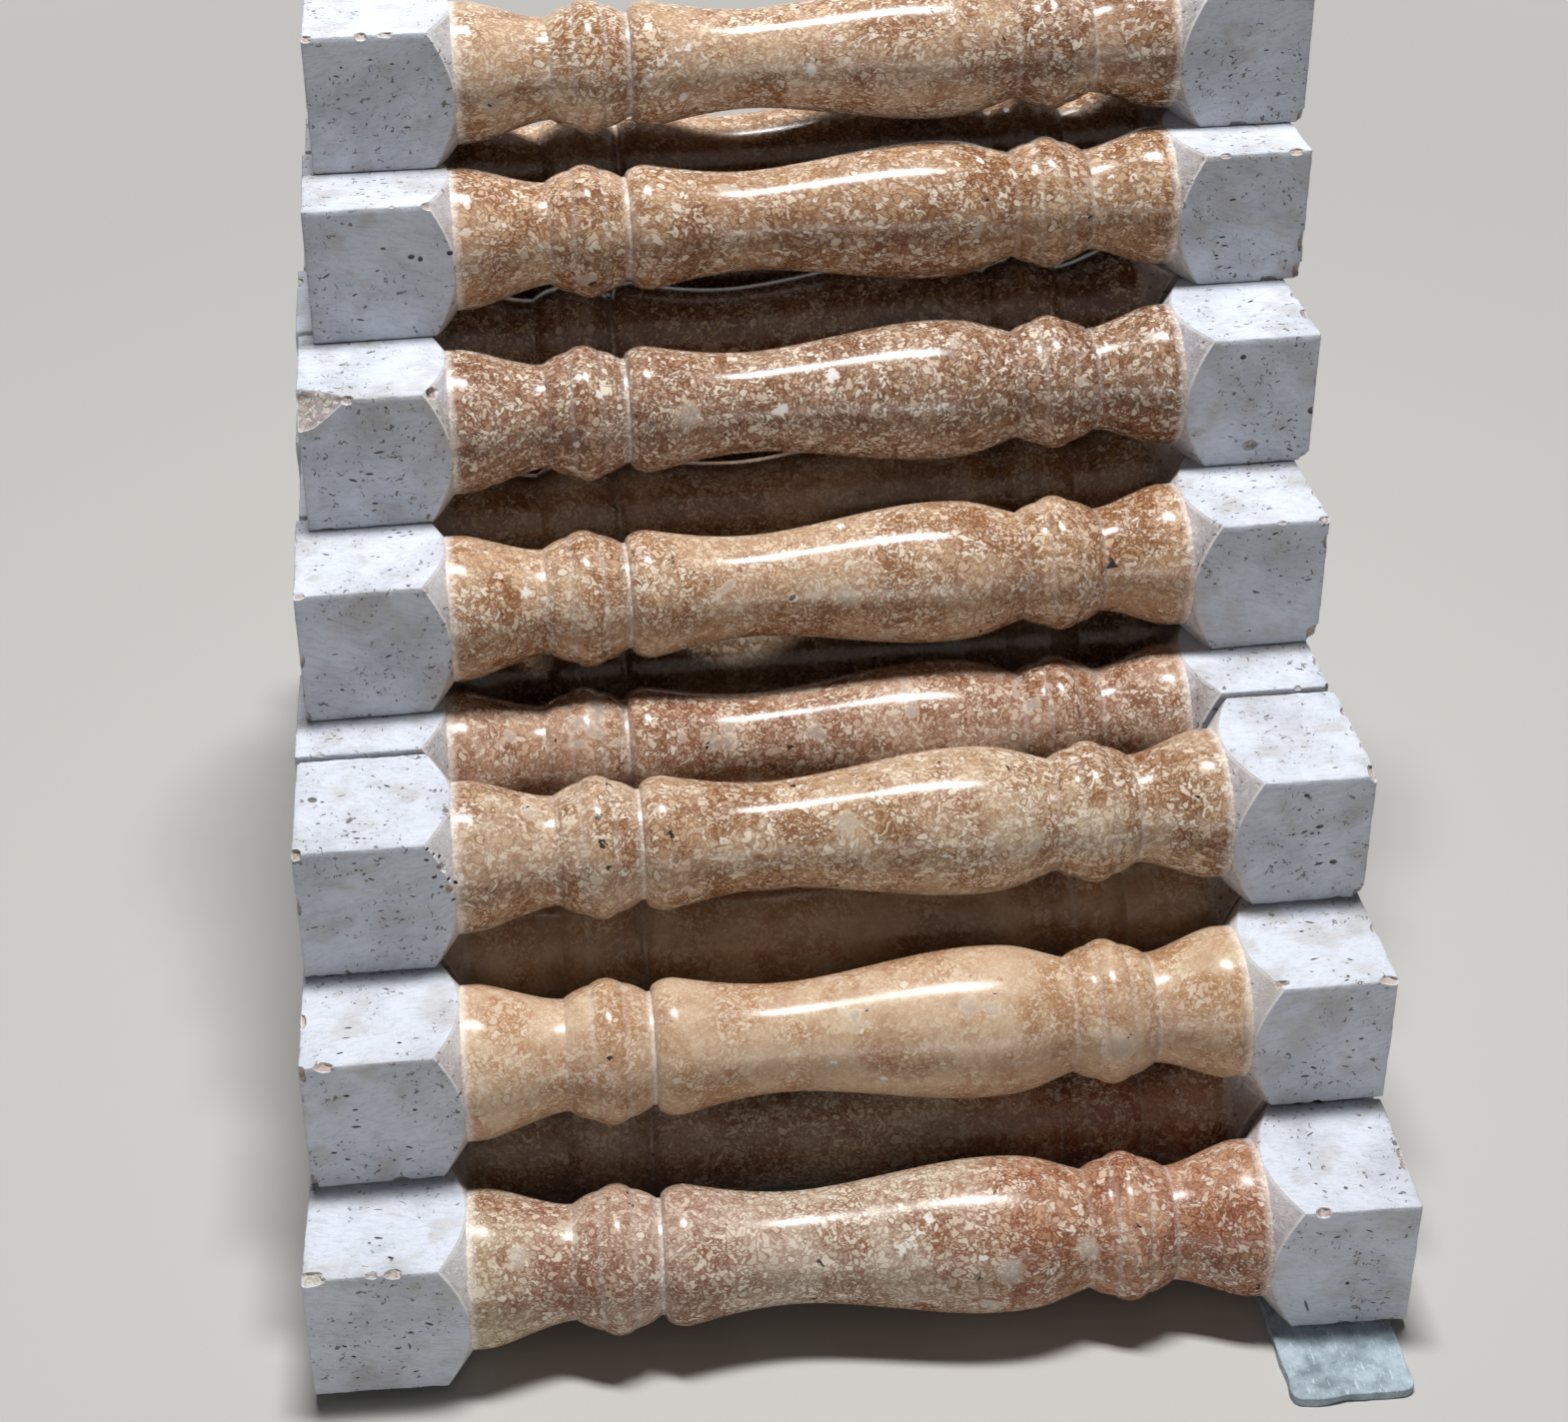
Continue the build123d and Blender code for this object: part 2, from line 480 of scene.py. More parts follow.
# %% [markdown]
# The tone of the stone changes along the baluster, with ragged borders. On it lie the clots, which a Voronoi
# texture draws as cells: some paler, some deeper, all with a thin seam between them. In calm places of the
# bed they fade into the plain tone, and elsewhere seams gather to dark clouds.

# %% Clots and seams
seam_width = 0.22


def clotted(add, bed, look):
    """The colour of the stone with its clots, the plain tone, and the colour of its seams."""
    tone_stops = [(place, linear(colour)) for place, colour in look["tones"]]
    tone = add("ValToRGB", {0: share_along(add, bed, bed.clouds, tone_curl)}, ramp=tone_stops).outputs[0]
    seam_colour = add("Mix", {0: 1.0, 6: tone, 7: linear(look["seam"])}, **tinted)

    squeezed = add("VectorMath", {0: bed.curly, 1: (look["squeeze"], 1.0, 1.0)}, **times)
    cell = {"Vector": squeezed, "Scale": 1 / clot_size}
    clot = add("SeparateColor", {0: add("TexVoronoi", cell).outputs["Color"]}).outputs[0]
    pale = add("MapRange", {0: clot, 1: 0.35, 2: 1.0, 4: look["paleness"]})
    deep = add("MapRange", {0: clot, 1: 0.35, 2: 0.0, 4: 0.55})
    busy = add("MapRange", {0: bed.clouds, 1: 0.40, 2: 0.60, 3: look["calm"], 4: 1.0}, **smooth)
    calm = add("Math", {0: 1.0, 1: busy}, operation="SUBTRACT")
    edge = add("TexVoronoi", cell, feature="DISTANCE_TO_EDGE")
    seam = add("MapRange", {0: edge, 1: 0.02, 2: seam_width, 3: look["seams"], 4: 0.0}, **smooth)
    seam = add("Math", {0: seam, 1: busy}, **times)
    gathered = add("MapRange", {0: bed.clouds, 1: 0.52, 2: 0.70, 4: 0.4}, **smooth)

    coats = [(pale, cream), (deep, seam_colour), (calm, tone), (seam, seam_colour),
             (gathered, seam_colour)]
    stone = tone
    for cover, colour in coats:
        stone = add("Mix", {0: cover, 6: stone, 7: colour}, **mixed)
    return stone, tone, seam_colour


# %% [markdown]
# Rounder pebbles lie among the clots, pale inside a dark skin. They are the cells of a second Voronoi
# texture, of which only some are chosen: the cell's red channel says which, its green channel how large the
# pebble is, and its blue channel how pale.


# %% Pebbles
def pebbled(add, bed, look, stone, tone, seam_colour):
    """The stone with pebbles on it."""
    softly_bent = add("VectorMath", {0: bed.wriggle.outputs["Color"], 1: (pebble_curl,) * 3, 2: bed.bent},
                      operation="MULTIPLY_ADD")
    pebble = add("TexVoronoi", {"Vector": softly_bent, "Scale": 1 / pebble_size})
    lot = add("SeparateColor", {0: pebble.outputs["Color"]})
    chosen = add("Math", {0: lot.outputs[0], 1: look["pebbles"]}, operation="LESS_THAN")
    out = add("Math", {0: lot.outputs[1], 1: -0.22, 2: pebble.outputs["Distance"]}, operation="MULTIPLY_ADD")
    skin_ring = add("MapRange", {0: out, 1: 0.26, 2: 0.17, 4: 0.75}, **smooth)
    skin_ring = add("Math", {0: skin_ring, 1: chosen}, **times)
    stone = add("Mix", {0: skin_ring, 6: stone, 7: seam_colour}, **mixed)
    heart = add("MapRange", {0: out, 1: 0.16, 2: 0.10, 4: 0.85}, **smooth)
    heart = add("Math", {0: heart, 1: chosen}, **times)
    heart_colour = add("Mix", {0: lot.outputs[2], 6: tone, 7: cream}, **mixed)
    return add("Mix", {0: heart, 6: stone, 7: heart_colour}, **mixed)


# %% [markdown]
# Soft blushes drift over the stone, and grey patches with a pale rim show where a hollow was filled before
# the polish. Both are masks of the same slow noise that bends the bed.

# %% Blushes and patches
patch_border = 0.74
patch_edge = 0.03
patch_spread = 0.2


def patched(add, bed, look, stone):
    """The stone with blushes, and with as many patches as the look asks for."""
    blush = add("MapRange", {0: bed.drift.outputs[0], 1: 0.48, 2: 0.66, 4: 0.5}, **smooth)
    blushed = add("Mix", {0: 1.0, 6: stone, 7: linear(look["blush"])}, **tinted)
    stone = add("Mix", {0: blush, 6: stone, 7: blushed}, **mixed)
    border = patch_border - look["patches"] * patch_spread
    slow = bed.drift.outputs[2]
    rim = add("MapRange", {0: slow, 1: border - patch_edge, 2: border, 4: 0.35}, **smooth)
    stone = add("Mix", {0: rim, 6: stone, 7: cream}, **mixed)
    patch = add("MapRange", {0: slow, 1: border, 2: border + patch_edge, 4: 0.55}, **smooth)
    return add("Mix", {0: patch, 6: stone, 7: linear(look["patch"])}, **mixed)


# %% [markdown]
# Gas bubbles are the cells of a third Voronoi texture. A few are open and a few full of lime, by the cell's
# own lot. On the blocks they are drawn out along the bed, as slots, and gather where the bed is cloudy.
# Hairline slots lie between them: short pieces of the curves where a noise crosses its middle value.

# %% Bubbles and hairlines
slot_share = 0.12
sound_share = 0.985
hair_width = 0.04


def bubbled(add, bed, look):
    """Two masks: the bubbles full of lime, and the open ones."""
    stretch = add("Mix", {0: bed.on_shaft, 4: (0.4, 1.0, 1.0), 5: (0.8, 1.0, 1.0)}, data_type="VECTOR")
    in_bed = add("VectorMath", {0: bed.curly, 1: stretch}, **times)
    bubble = add("TexVoronoi", {"Vector": in_bed, "Scale": 1 / bubble_spacing})
    kind = add("SeparateColor", {0: bubble.outputs["Color"]})
    out = add("Math", {0: kind.outputs[1], 1: -0.20, 2: bubble.outputs["Distance"]}, operation="MULTIPLY_ADD")
    inside = add("MapRange", {0: out, 1: 0.045, 2: -0.02}, **smooth)
    limed = add("MapRange", {0: kind.outputs[0], 1: look["specks"], 2: look["specks"] - 0.01})
    limed = add("Math", {0: limed, 1: inside}, **times)
    slots = add("MapRange", {0: bed.clouds, 1: 0.42, 2: 0.62, 3: sound_share, 4: 1 - slot_share})
    closed_share = add("Mix", {0: bed.on_shaft, 2: slots, 3: 1 - look["pits"]})
    is_open = add("Math", {0: kind.outputs[0], 1: closed_share}, operation="GREATER_THAN")
    is_open = add("Math", {0: is_open, 1: inside}, **times)
    return limed, is_open


def hairlines(add, bed):
    """A mask of thin short curves."""
    threads = add("SeparateColor", {0: bed.wriggle.outputs["Color"]})
    hair = add("Math", {0: threads.outputs[0], 1: 0.5, 2: hair_width}, operation="COMPARE")
    for stretch, limit in ((threads.outputs[1], 0.60), (bed.clouds, 0.47)):
        shows = add("MapRange", {0: stretch, 1: limit, 2: limit + 0.03}, **smooth)
        hair = add("Math", {0: hair, 1: shows}, **times)
    return hair


# %% [markdown]
# On the balusters in front, single marks can be made out. Each is a small ball round a place on the shaft,
# with a ragged border. The material measures how far the skin lies from the nearest ball of each kind, in
# shares of its radius, and paints filler, lime or a hole inside it.


# %% Single marks
def nearest_marks(add, bed, seen):
    """For each kind of mark, how far the nearest one lies, in shares of its radius."""
    ragged_skin = add("VectorMath", {0: bed.wriggle.outputs["Color"], 1: (mark_curl,) * 3, 2: bed.billet},
                      operation="MULTIPLY_ADD")
    nearest = {}
    for kind, places in seen.items():
        for x, angle, shaft_radius, mark_radius in places:
            turn = math.radians(angle)
            middle = Vector((x, -shaft_radius * math.cos(turn), shaft_radius * math.sin(turn))) * mm
            middle += Vector((mark_curl / 2,) * 3)
            away = add("VectorMath", {0: ragged_skin, 1: middle}, operation="DISTANCE")
            away = add("Math", {0: away, 1: mark_radius * mm}, operation="DIVIDE")
            if kind in nearest:
                away = add("Math", {0: away, 1: nearest[kind]}, operation="MINIMUM")
            nearest[kind] = away
    return nearest


def with_marks(add, bed, look, seen, stone, limed, is_open):
    """The stone and the masks of lime and of open holes, with the single marks added."""
    nearest = nearest_marks(add, bed, seen)
    if "filler" in nearest:
        paste = add("MapRange", {0: nearest["filler"], 1: 1.0, 2: 0.55, 4: 0.45}, **smooth)
        rim = add("MapRange", {0: nearest["filler"], 1: 1.25, 2: 0.95, 4: 0.3}, **smooth)
        stone = add("Mix", {0: rim, 6: stone, 7: cream}, **mixed)
        stone = add("Mix", {0: paste, 6: stone, 7: linear(look["patch"])}, **mixed)
    if "lime" in nearest:
        splash = add("MapRange", {0: nearest["lime"], 1: 1.1, 2: 0.8}, **smooth)
        limed = add("Math", {0: limed, 1: splash}, operation="MAXIMUM")
    if "hole" in nearest:
        hollow = add("MapRange", {0: nearest["hole"], 1: 1.1, 2: 0.9}, **smooth)
        is_open = add("Math", {0: is_open, 1: hollow}, operation="MAXIMUM")
    return stone, limed, is_open


# %% [markdown]
# White dust lies in the fine lines that the chisel left, in the groove, and on the ring beside each
# shoulder. A colour ramp along the baluster holds it. Each line is its place along the baluster, how far the
# dust reaches to each side, and how much lies there.

# %% Dust on the turned lines
neck_end = top_block_length + lip_length + top_flare_length
foot_end = baluster_length - base_block_length - lip_length - base_flare_length
dust_lines = [
    (top_block_length + 1.5, 4.5, 0.6),
    (neck_end, 1.6, 0.2),
    (neck_end + outer_ovolo_length, 1.6, 0.2),
    (neck_end + outer_ovolo_length + bead_length, 1.6, 0.25),
    (neck_end + bead_group_length + groove_length / 2, 4.0, 0.4),
    (foot_end - bead_group_length, 2.0, 0.25),
    (foot_end - outer_ovolo_length - bead_length, 1.6, 0.2),
    (foot_end - outer_ovolo_length, 1.6, 0.2),
    (foot_end, 1.6, 0.25),
    (baluster_length - base_block_length - 1.5, 4.5, 0.6),
]
dust_stops = [(0.0, (0.0, 0.0, 0.0, 1.0))]
for place, reach, amount in dust_lines:
    for at, value in ((place - reach, 0.0), (place, amount), (place + reach, 0.0)):
        dust_stops.append((at / baluster_length, (value, value, value, 1.0)))
print("Stops of the dust ramp:", len(dust_stops))


def polished_face(add, bed, stone, limed):
    """The colour of the polished shaft, and how much dust lies on it."""
    skin = add("Mix", {0: limed, 6: stone, 7: lime}, **mixed)
    shine = add("Mix", {0: bed.grain, 6: polished_grain, 7: white}, **mixed)
    skin = add("Mix", {0: 1.0, 6: skin, 7: shine}, **tinted)
    line = share_along(add, bed, bed.wriggle.outputs[0], dust_curl)
    dust = add("ValToRGB", {0: line}, ramp=dust_stops)
    patchy = add("MapRange", {0: bed.grain, 1: 0.30, 2: 0.55, 3: 0.45, 4: 1.0})
    dust = add("Math", {0: dust.outputs[0], 1: patchy}, **times)
    return add("Mix", {0: dust, 6: skin, 7: lime}, **mixed), dust


# %% [markdown]
# A sawn face is dust with a breath of the stone's own colour, dirt in soft clouds, stains, faint scrapes and
# grain. The cone of each shoulder was cut by the chisel after the saw, so more of the stone shows on it, up
# to a pale line along the arch. The cone is found by its shape: there the skin lies inside the square.

# %% Sawn faces
cone_share = 0.3
breath_of_stone = 0.06
cone_starts, cone_is_full = 0.2, 0.9
arch_starts, arch_is_full = 2.4, 0.6
arch_share = 0.75


def sawn_face(add, bed, stone):
    """The colour of the blocks."""
    dirty = add("MapRange", {0: bed.clouds, 1: 0.35, 2: 0.75, 4: 0.6}, **smooth)
    skin = add("Mix", {0: dirty, 6: sawn_dust, 7: sawn_dirt}, **mixed)
    stained = add("MapRange", {0: bed.drift.outputs[1], 1: 0.50, 2: 0.68, 4: 0.35}, **smooth)
    skin = add("Mix", {0: stained, 6: skin, 7: sawn_stain}, **mixed)
    skin = add("Mix", {0: breath_of_stone, 6: skin, 7: stone}, **mixed)
    drawn = add("VectorMath", {0: bed.bent, 1: (0.16, 1.0, 1.0)}, **times)
    scrape = add("TexNoise", {"Vector": drawn, "Scale": 1 / scrape_width, "Detail": 2.0, "Roughness": 0.7})
    scraped = add("MapRange", {0: scrape, 1: 0.36, 2: 0.52}, **smooth)
    for share, shade in ((scraped, sawn_scrape), (bed.grain, sawn_grain)):
        coarse = add("Mix", {0: share, 6: shade, 7: white}, **mixed)
        skin = add("Mix", {0: 1.0, 6: skin, 7: coarse}, **tinted)
    return on_the_cone(add, bed, stone, skin)


def on_the_cone(add, bed, stone, skin):
    """The blocks' colour with the cones of both shoulders on it."""
    half = block_side / 2
    # A millimetre short of the cone's end, so that the bevelled arrises don't count as cone
    cone_half = shaft_half + shoulder_length - 1
    near = add("Math", {0: bed.along, 1: shaft_middle * mm, 2: cone_half * mm}, operation="COMPARE")
    y = add("Math", {0: bed.parts.outputs[1]}, operation="ABSOLUTE")
    z = add("Math", {0: bed.parts.outputs[2]}, operation="ABSOLUTE")
    across = add("Math", {0: y, 1: z}, operation="MAXIMUM")
    cone = add("MapRange", {0: across, 1: (half - cone_starts) * mm, 2: (half - cone_is_full) * mm})
    cone = add("Math", {0: near, 1: cone}, **times)
    cone_skin = add("Mix", {0: cone_share, 6: skin, 7: stone}, **mixed)
    skin = add("Mix", {0: cone, 6: skin, 7: cone_skin}, **mixed)
    arch = add("MapRange", {0: across, 1: (half - arch_starts) * mm, 2: (half - arch_is_full) * mm})
    arch = add("Math", {0: arch, 1: cone}, **times)
    arch = add("Math", {0: arch, 1: arch_share}, **times)
    return add("Mix", {0: arch, 6: skin, 7: lime}, **mixed)


# %% [markdown]
# The material puts the layers together. The polished colour goes on the shaft and the sawn one on the
# blocks. Under the skin, chips show fresh stone, and slots in the blocks hold dirt. Pits in the shaft are
# painted dark inside, as painted shade. Polish gives the eye a sharp streak of light, a little softer where
# the bed wriggles and dull where dust lies. Sawn and broken stone is matt and grainy.

# %% Travertine material
chip_starts, chip_is_full = 0.5, 1.4
hollow_starts, hollow_is_full = 0.3, 0.9
fresh_dirt = 0.42
matt = 0.85


def travertine(name, look, seen=None):
    """look holds the tones along the baluster and how much of each figure shows; seen lists single marks."""
    material = bpy.data.materials.new(name)
    material.use_nodes = True
    tree = material.node_tree
    shader = tree.nodes["Principled BSDF"]
    add = partial(node, tree)
    bed = bedded(add)
    stone, tone, seam_colour = clotted(add, bed, look)
    stone = pebbled(add, bed, look, stone, tone, seam_colour)
    stone = patched(add, bed, look, stone)
    limed, is_open = bubbled(add, bed, look)
    if seen:
        stone, limed, is_open = with_marks(add, bed, look, seen, stone, limed, is_open)
    polished_skin, dust = polished_face(add, bed, stone, limed)
    sawn_skin = sawn_face(add, bed, stone)
    sawn_skin = add("Mix", {0: hairlines(add, bed), 6: sawn_skin, 7: sawn_slot}, **mixed)
    skin = add("Mix", {0: bed.on_shaft, 6: sawn_skin, 7: polished_skin}, **mixed)

    depth = add("Attribute", attribute_name="depth").outputs["Fac"]
    hollow_depth = add("Attribute", attribute_name="hollow").outputs["Fac"]
    # A hole takes the dirt of the slots on the blocks, and on the shaft the painted shade of a pit
    hole = add("Mix", {0: bed.on_shaft, 6: sawn_slot, 7: pit_shadow}, **mixed)
    skin = add("Mix", {0: is_open, 6: skin, 7: hole}, **mixed)
    broken = add("MapRange", {0: depth, 1: chip_starts, 2: chip_is_full}, **smooth)
    fresh = add("Mix", {0: fresh_dirt, 6: stone, 7: sawn_dirt}, **mixed)
    colour = add("Mix", {0: broken, 6: skin, 7: fresh}, **mixed)
    # Cut slots in the blocks take the same dirt, and cut pits in the shaft the same painted shade
    in_hollow = add("MapRange", {0: hollow_depth, 1: hollow_starts, 2: hollow_is_full}, **smooth)
    colour = add("Mix", {0: in_hollow, 6: colour, 7: hole}, **mixed)
    tree.links.new(colour.outputs[2], shader.inputs["Base Color"])

    sound = add("Math", {0: 1.0, 1: broken}, operation="SUBTRACT")
    polished = add("Math", {0: bed.on_shaft, 1: sound}, **times)
    sharp, soft = look["roughness"], look["roughness"] + 0.1
    gloss = add("MapRange", {0: bed.wriggle.outputs[0], 1: 0.3, 2: 0.7, 3: sharp, 4: soft})
    roughness = add("Mix", {0: polished, 2: matt, 3: gloss})
    roughness = add("Math", {0: roughness, 1: dust}, operation="MAXIMUM")
    tree.links.new(roughness.outputs[0], shader.inputs["Roughness"])
    shader.inputs["IOR"].default_value = 1.5
    # A film of dust and fine scratches takes some of the mirror away
    shader.inputs["Specular IOR Level"].default_value = 0.3

    rough_part = add("Math", {0: 1.0, 1: polished}, operation="SUBTRACT")
    rough_part = add("Math", {0: rough_part, 1: bed.grain}, **times)
    height = add("Math", {0: rough_part, 1: 0.4}, **times)
    height = add("Math", {0: height, 1: is_open}, operation="SUBTRACT")
    bump = add("Bump", {"Height": height, "Distance": 1.2 * mm, "Strength": 0.8})
    tree.links.new(bump.outputs[0], shader.inputs["Normal"])
    return material


# %% [markdown]
# ## Looks of the courses
# Every billet came from another part of the quarry. The tones are read along the baluster from its top block
# to its base block, as shares of its length. seams, paleness and calm say how strongly the figures show,
# squeeze how long the clots are, and pebbles, specks, pits and patches how many there are.

# %% Colours, course by course
usual = {
    "seam": "#9A6E46", "seams": 0.9, "calm": 0.55, "paleness": 1.0, "squeeze": 0.75, "pebbles": 0.22,
    "blush": "#E8D6CE", "patch": "#B0A49A", "patches": 0.1, "specks": 0.05, "pits": 0.04, "roughness": 0.15,
}
looks = {
    "1": {**usual, "tones": [(0.14, "#CFC6A9"), (0.20, "#C9B4A0"), (0.33, "#C8B3A3"), (0.42, "#D2CAB8"),
                             (0.56, "#D3C8B4"), (0.66, "#C49C7E"), (0.86, "#C49B7F")],
          "seam": "#A06A4E", "calm": 0.6, "pebbles": 0.3, "patch": "#C2BBB7", "patches": 0.0,
          "specks": 0.10, "roughness": 0.2},
    "2": {**usual, "tones": [(0.15, "#DEC8AD"), (0.3, "#D4BDA2"), (1.0, "#D2BA9D")],
          "seam": "#C9A688", "calm": 0.3, "paleness": 0.6, "pebbles": 0.04, "blush": "#E4D5D2",
          "patches": 0.0, "specks": 0.01, "pits": 0.01, "roughness": 0.18},
    "3": {**usual, "tones": [(0.2, "#CBB297"), (0.45, "#D2B899"), (0.7, "#DCCAB0"), (0.85, "#C6A98A")],
          "calm": 0.5, "paleness": 1.3, "squeeze": 0.55, "pits": 0.08},
    "3_behind": {**usual, "tones": [(0.2, "#CAAC94"), (0.8, "#C9AC97")], "patch": "#AA9D99", "patches": 0.45},
    "4": {**usual, "tones": [(0.2, "#D5B99B"), (0.55, "#D7BEA2"), (0.85, "#CCAC89")], "specks": 0.10},
    "5": {**usual, "tones": [(0.2, "#BA9B82"), (0.55, "#BFA38A"), (0.85, "#AE8D72")],
          "seam": "#8E623E", "calm": 0.8, "paleness": 1.2, "pebbles": 0.5, "specks": 0.14},
    "6": {**usual, "tones": [(0.2, "#D3B799"), (0.45, "#C0A182"), (0.85, "#C4A584")],
          "seam": "#96693F", "calm": 0.6, "squeeze": 0.5},
    "7": {**usual, "tones": [(0.2, "#D3BA9D"), (0.55, "#DAC2A7"), (0.8, "#B09176")],
          "calm": 0.5, "paleness": 1.25, "squeeze": 0.5, "specks": 0.07},
}
print("Looks:", ", ".join(looks))

# %% [markdown]
# Some marks on the balusters in front can be made out one by one: holes, splashes of lime, and hollows filled
# with a grey paste. Each is its place along the baluster, its angle round the shaft (0 in front, 90 on top),
# the shaft's radius there and the mark's own radius, in millimetres and degrees.

# %% Marks that can be seen
marks = {
    "1": {"lime": [(390, 60, 44, 3), (384, 52, 43, 3), (378, 45, 42, 3), (372, 38, 42, 4),
                   (467, 14, 46, 2.5), (422, 28, 48, 2.5)],
          "filler": [(491, 25, 38, 7.5), (439, 16, 49, 9), (163, 80, 36, 6), (132, 52, 44, 7)]},
    "2": {"filler": [(520, 10, 47, 11), (424, 52, 48, 7), (438, 50, 49, 6)],
          "hole": [(527, 19, 46, 1.6), (117, 12, 45, 1.8), (133, 12, 41, 1.8)],
          "lime": [(337, 10, 37, 2), (367, -6, 41, 3)]},
    "3": {"hole": [(195, 62, 47, 2), (196, 40, 47, 2), (239, 44, 43, 2), (199, 20, 47, 2.5)],
          "filler": [(150, 80, 38, 6), (354, 42, 39, 8)]},
    "3_behind": {"filler": [(202, 72, 45, 7), (216, 45, 39, 4), (278, 40, 36, 7), (290, 36, 36, 6),
                            (352, 98, 39, 6)]},
    "4": {"hole": [(553, 25, 36, 3.2)],
          "lime": [(370, 92, 42, 4), (152, 43, 38, 4)],
          "filler": [(368, 16, 41, 7)]},
    "5": {"hole": [(227, 22, 42, 2), (236, 16, 44, 2.2)],
          "lime": [(325, 16, 36, 5), (362, 49, 40, 5), (190, 60, 45, 4), (202, 45, 45, 4)],
          "filler": [(262, 20, 39, 9)]},
    "6": {"hole": [(470, 30, 45, 1.5), (545, 5, 38, 1.8)],
          "lime": [(470, 70, 45, 3)]},
    "7": {"lime": [(254, 34, 41, 2), (262, 35, 39, 2.6), (234, 14, 44, 2.2), (232, 3, 44, 2.6),
                   (258, 7, 40, 2), (240, 24, 43, 2.4), (246, 26, 42, 2), (254, 20, 40, 2), (347, 6, 38, 5),
                   (257, -16, 40, 3)],
          "filler": [(124, -8, 46, 7)],
          "hole": [(124, -8, 46, 2)]},
}
stones = {name: travertine(f"travertine_{name}", look) for name, look in looks.items()}
for name, seen in marks.items():
    stones[f"{name}_front"] = travertine(f"travertine_{name}_front", looks[name], seen)
print(len(stones), "travertines, the plainest with", len(stones["1"].node_tree.nodes), "nodes")

# %% [markdown]
# ## Wear
# The stack has been handled. The sawn arrises have crumbled a little all along, and some corners have lost a
# real chip. Moving vertices by hand would take days, so the crumbling is a Displace modifier that reads a
# cloud texture and acts only near the arrises, by the weights of a vertex group. An empty at a random place
# carries the texture, so that each piece crumbles in its own way.

# %% Crumble the arrises
arris_reach = 5.0
crumble_depth = 1.8
crumble = bpy.data.textures.new("crumble", "CLOUDS")
crumble.noise_scale = 9 * mm
crumble.noise_depth = 3


def crumbled(piece, rng):
    """Wears the arrises of both blocks."""
    group = piece.vertex_groups.new(name="arrises")
    half = block_side / 2
    for vertex in piece.data.vertices:
        x, y, z = vertex.co / mm
        if top_block_length < x < baluster_length - base_block_length:
            continue
        gaps = sorted((min(x, baluster_length - x), half - abs(y), half - abs(z)))
        if gaps[0] < 1.0 and gaps[1] < arris_reach:
            group.add([vertex.index], 1 - gaps[1] / arris_reach, "REPLACE")
    bpy.ops.object.empty_add(location=[rng.uniform(-1, 1) for _ in range(3)])
    marker = bpy.context.active_object
    applied(piece, "DISPLACE", texture=crumble, texture_coords="OBJECT", texture_coords_object=marker,
            vertex_group="arrises", strength=-crumble_depth * mm, mid_level=0.2)
    removed(marker)
    piece.vertex_groups.clear()


# %% [markdown]
# A chip is what a blow takes off: a rough scoop. It is cut by a Boolean with a roughened ball, drawn out to
# the size of the chip. Pits and slots are cut by small balls, and a broken corner by one large ball that
# stands mostly outside the block, which leaves a wide shallow flake. All the balls of one kind are joined
# first, so each baluster needs three cuts at most.


# %% Make the three tools
def ball(name, subdivisions, roughness, lump_size):
    """A ball of radius 1 with lumps on it, which a cut later makes as large as it needs to be."""
    bpy.ops.mesh.primitive_ico_sphere_add(subdivisions=subdivisions, radius=1.0)
    piece = bpy.context.active_object
    piece.name = name
    lumps = bpy.data.textures.new(name, "CLOUDS")
    lumps.noise_scale = lump_size
    lumps.noise_depth = 3
    applied(piece, "DISPLACE", texture=lumps, strength=roughness, mid_level=0.5)
    return piece


flake_tool = ball("flake_tool", 6, 0.10, 0.22)
chip_tool = ball("chip_tool", 3, 0.55, 0.55)
pit_tool = ball("pit_tool", 2, 0.4, 0.7)
for tool in (flake_tool, chip_tool, pit_tool):
    print(tool.name, "has", len(tool.data.polygons), "faces")


# %% Cut with a tool
def cut(piece, tool, blows, rng, swing):
    """Cuts a hollow for each blow, given as its place and half sizes, turned by up to swing radians."""
    if not blows:
        return
    teeth = []
    for place, radii in blows:
        tooth = copied(tool, "tooth")
        turn_y = Matrix.Rotation(rng.uniform(-swing, swing), 4, "Y")
        turn_z = Matrix.Rotation(rng.uniform(-swing, swing), 4, "Z")
        size = Matrix.Diagonal((*(r * mm for r in radii), 1.0))
        tooth.data.transform(Matrix.Translation(Vector(place) * mm) @ (turn_y @ turn_z) @ size)
        teeth.append(tooth)
    bpy.ops.object.select_all(action="DESELECT")
    for tooth in teeth:
        tooth.select_set(True)
    bpy.context.view_layer.objects.active = teeth[0]
    bpy.ops.object.join()
    applied(piece, "BOOLEAN", operation="DIFFERENCE", object=teeth[0], solver="MANIFOLD")
    removed(teeth[0])


# %% [markdown]
# ## Damage
# The chips that can be made out one by one are listed for each baluster that faces the front, by its course
# and its place in it. Each is (x, y, z) and its half sizes: x from the top block's end, y from the axis to
# the back, z upwards. flakes are the broken corners, and pits the holes and slots. Chance adds small ones to
# every baluster later, the same in every run.

